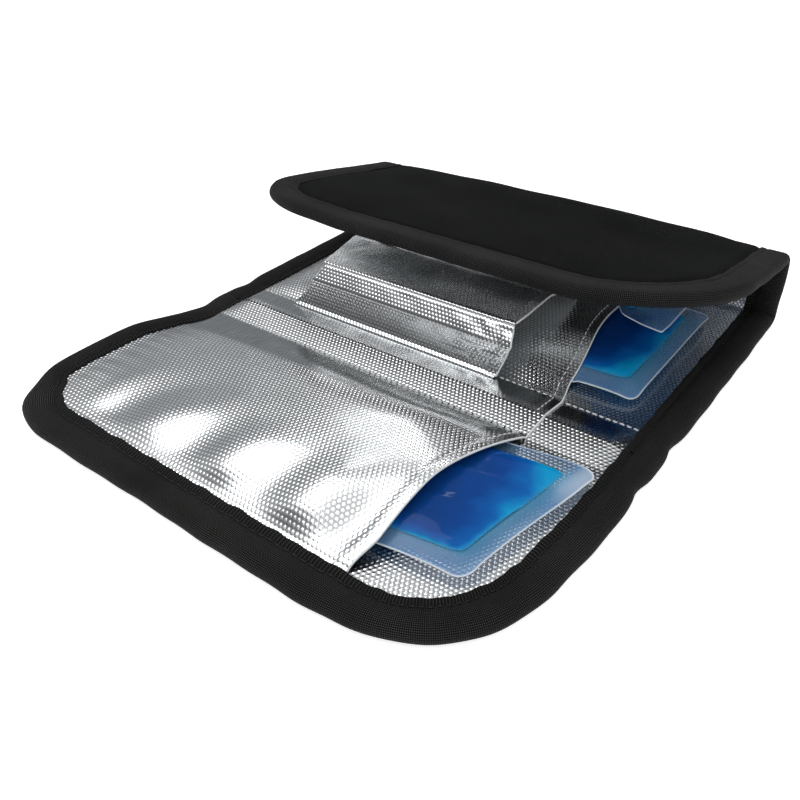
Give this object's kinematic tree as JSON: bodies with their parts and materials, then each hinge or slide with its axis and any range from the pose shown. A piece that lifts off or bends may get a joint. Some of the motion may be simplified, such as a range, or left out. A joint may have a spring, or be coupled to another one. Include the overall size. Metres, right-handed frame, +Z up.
{
  "type": "insulin cooling case",
  "caption": "Tri-fold insulated soft case with silver film pockets, sliding gel packs, a bellows pen pocket and a hinged cover flap.",
  "frame": {"origin": "middle of the open case's footprint, on the table", "axes": "+X along the folds towards the pockets' mouths, +Y from the front panel to the back spine, +Z up"},
  "size_m": [0.205, 0.2268, 0.046],
  "materials": {
    "outer_cloth": "black twill Oxford cloth",
    "binding_tape": "black ribbed tape",
    "silver_film": "bright film embossed with dots",
    "foam": "closed-cell foam",
    "bag_film": "milky clear film",
    "blue_gel": "glossy deep blue gel",
    "hook_tape": "black hooks",
    "loop_tape": "black looped pile"
  },
  "bodies": {
    "middle_panel": {"middle_cloth": "outer_cloth", "middle_foam": "foam", "middle_lining": "silver_film", "middle_binding_left": "binding_tape", "middle_binding_right": "binding_tape", "middle_pocket_sheet": "silver_film", "pen_pocket_front": "silver_film", "pen_pocket_left_end": "silver_film"},
    "pen_pocket_top_sheet": {"pen_pocket_top": "silver_film"},
    "front_spine": {"front_spine_cloth": "outer_cloth", "front_spine_foam": "foam", "front_spine_lining": "silver_film", "front_spine_binding_left": "binding_tape", "front_spine_binding_right": "binding_tape", "front_spine_sheet": "silver_film"},
    "front_panel": {"front_cloth": "outer_cloth", "front_foam": "foam", "front_lining": "silver_film", "front_binding": "binding_tape", "front_pocket_sheet": "silver_film", "loop_strip": "loop_tape"},
    "back_spine": {"back_spine_cloth": "outer_cloth", "back_spine_foam": "foam", "back_spine_lining": "silver_film", "back_spine_binding_left": "binding_tape", "back_spine_binding_right": "binding_tape"},
    "cover_flap": {"cover_cloth": "outer_cloth", "cover_foam": "foam", "cover_lining": "silver_film", "cover_binding": "binding_tape", "cover_pocket_sheet": "silver_film", "hook_strip": "hook_tape"},
    "front_gel_pack": {"front_gel_bag": "bag_film", "front_gel_core": "blue_gel"},
    "middle_gel_pack": {"middle_gel_bag": "bag_film", "middle_gel_core": "blue_gel"},
    "cover_gel_pack": {"cover_gel_bag": "bag_film", "cover_gel_core": "blue_gel"}
  },
  "joints": [
    {"name": "front_spine_fold", "type": "hinge", "parent": "middle_panel", "child": "front_spine", "pos_m": [0, 0.00555, 0.0059], "axis": [-1, 0, 0], "range_deg": [0, 90]},
    {"name": "front_panel_fold", "type": "hinge", "parent": "front_spine", "child": "front_panel", "pos_m": [0, -0.01985, 0.0059], "axis": [-1, 0, 0], "range_deg": [0, 90]},
    {"name": "back_spine_fold", "type": "hinge", "parent": "middle_panel", "child": "back_spine", "pos_m": [0, 0.10755, 0.0059], "axis": [-1, 0, 0], "range_deg": [0, 90]},
    {"name": "cover_fold", "type": "hinge", "parent": "back_spine", "child": "cover_flap", "pos_m": [0, 0.10755, 0.0269], "axis": [-1, 0, 0], "range_deg": [0, 82]},
    {"name": "pen_pocket_fold", "type": "hinge", "parent": "middle_panel", "child": "pen_pocket_top_sheet", "pos_m": [0, 0.06555, 0.01206], "axis": [1, 0, 0], "range_deg": [0, 12], "deforming": ["pen_pocket_front", "pen_pocket_left_end"]},
    {"name": "front_pack_slide", "type": "slide", "parent": "front_panel", "child": "front_gel_pack", "axis": [1, 0, 0], "range_m": [0, 0.125]},
    {"name": "middle_pack_slide", "type": "slide", "parent": "middle_panel", "child": "middle_gel_pack", "axis": [1, 0, 0], "range_m": [0, 0.125]},
    {"name": "cover_pack_slide", "type": "slide", "parent": "cover_flap", "child": "cover_gel_pack", "axis": [1, 0, 0], "range_m": [0, 0.125]}
  ]
}
